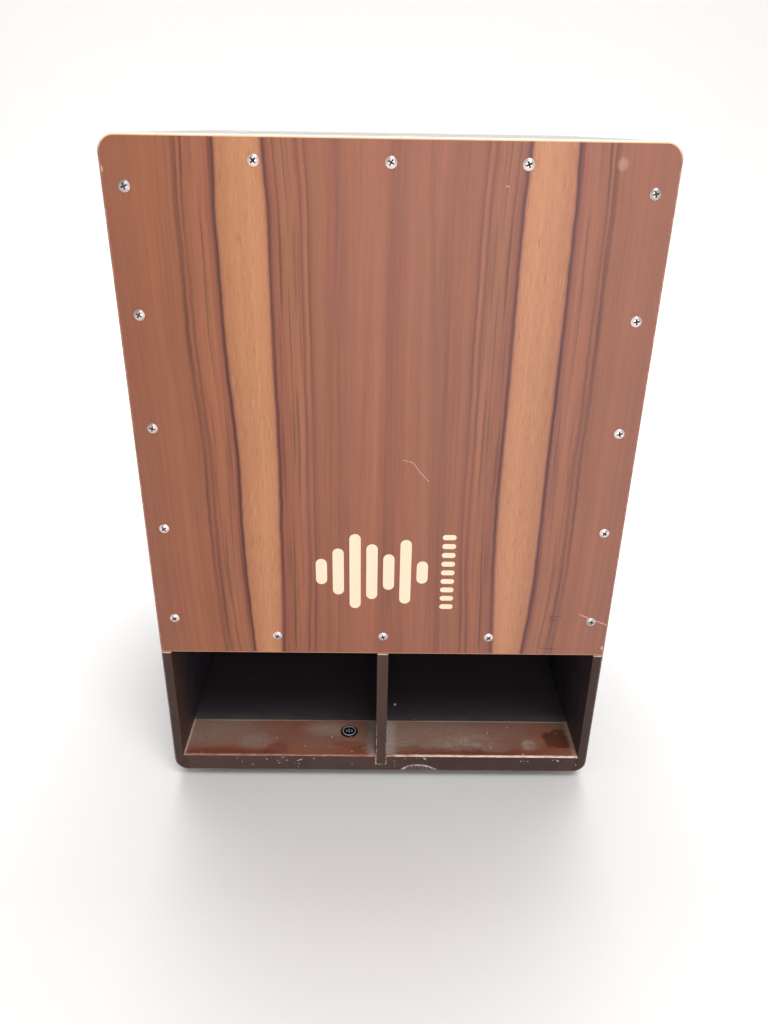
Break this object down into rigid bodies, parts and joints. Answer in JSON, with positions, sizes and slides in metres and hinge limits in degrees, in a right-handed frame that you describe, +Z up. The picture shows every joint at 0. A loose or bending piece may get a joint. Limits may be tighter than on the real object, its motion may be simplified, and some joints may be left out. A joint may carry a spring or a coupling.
{
  "type": "cajon",
  "caption": "Box drum to sit on and play by hand, with a screwed-on playing plate, two front ports at its foot and fixed inner snares.",
  "frame": {"origin": "on the ground under the middle of the box", "axes": "+Z up, -Y out of the playing face, +X to the right as seen from the front"},
  "size_m": [0.35, 0.3014, 0.5],
  "materials": {
    "painted_board": "satin brown paint on fibreboard, worn to the pale board on some edges",
    "black_board": "matt black paint",
    "walnut_plate": "satin lacquered striped walnut veneer on plywood",
    "pine": "planed, unfinished",
    "zinc_steel": "zinc plated",
    "snare_steel": "bright drawn wire",
    "screw_steel": "nickel plated",
    "felt": "pressed wool felt",
    "rubber": "moulded, matt",
    "badge_black": "gloss",
    "badge_silver": "polished"
  },
  "bodies": {
    "root": {"left_side_panel": "painted_board", "right_side_panel": "painted_board", "top_panel": "painted_board", "bottom_panel": "painted_board", "back_panel": "painted_board", "playing_plate": "walnut_plate", "port_divider": "painted_board", "port_shelf": "black_board", "front_left_batten": "pine", "front_right_batten": "pine", "front_top_batten": "pine", "front_bottom_batten": "pine", "rear_left_batten": "pine", "rear_right_batten": "pine", "rear_top_batten": "pine", "rear_bottom_batten": "pine", "snare_rail": "pine", "left_snare_clip": "zinc_steel", "right_snare_clip": "zinc_steel", "left_snare_wires": "snare_steel", "right_snare_wires": "snare_steel", "snare_felt": "felt", "clip_screws": "screw_steel", "rail_screws": "screw_steel", "plate_screws": "screw_steel", "rubber_feet": "rubber", "foot_washers": "zinc_steel", "foot_screws": "screw_steel", "badge_disc": "badge_black", "badge_ring": "badge_silver"}
  },
  "joints": []
}
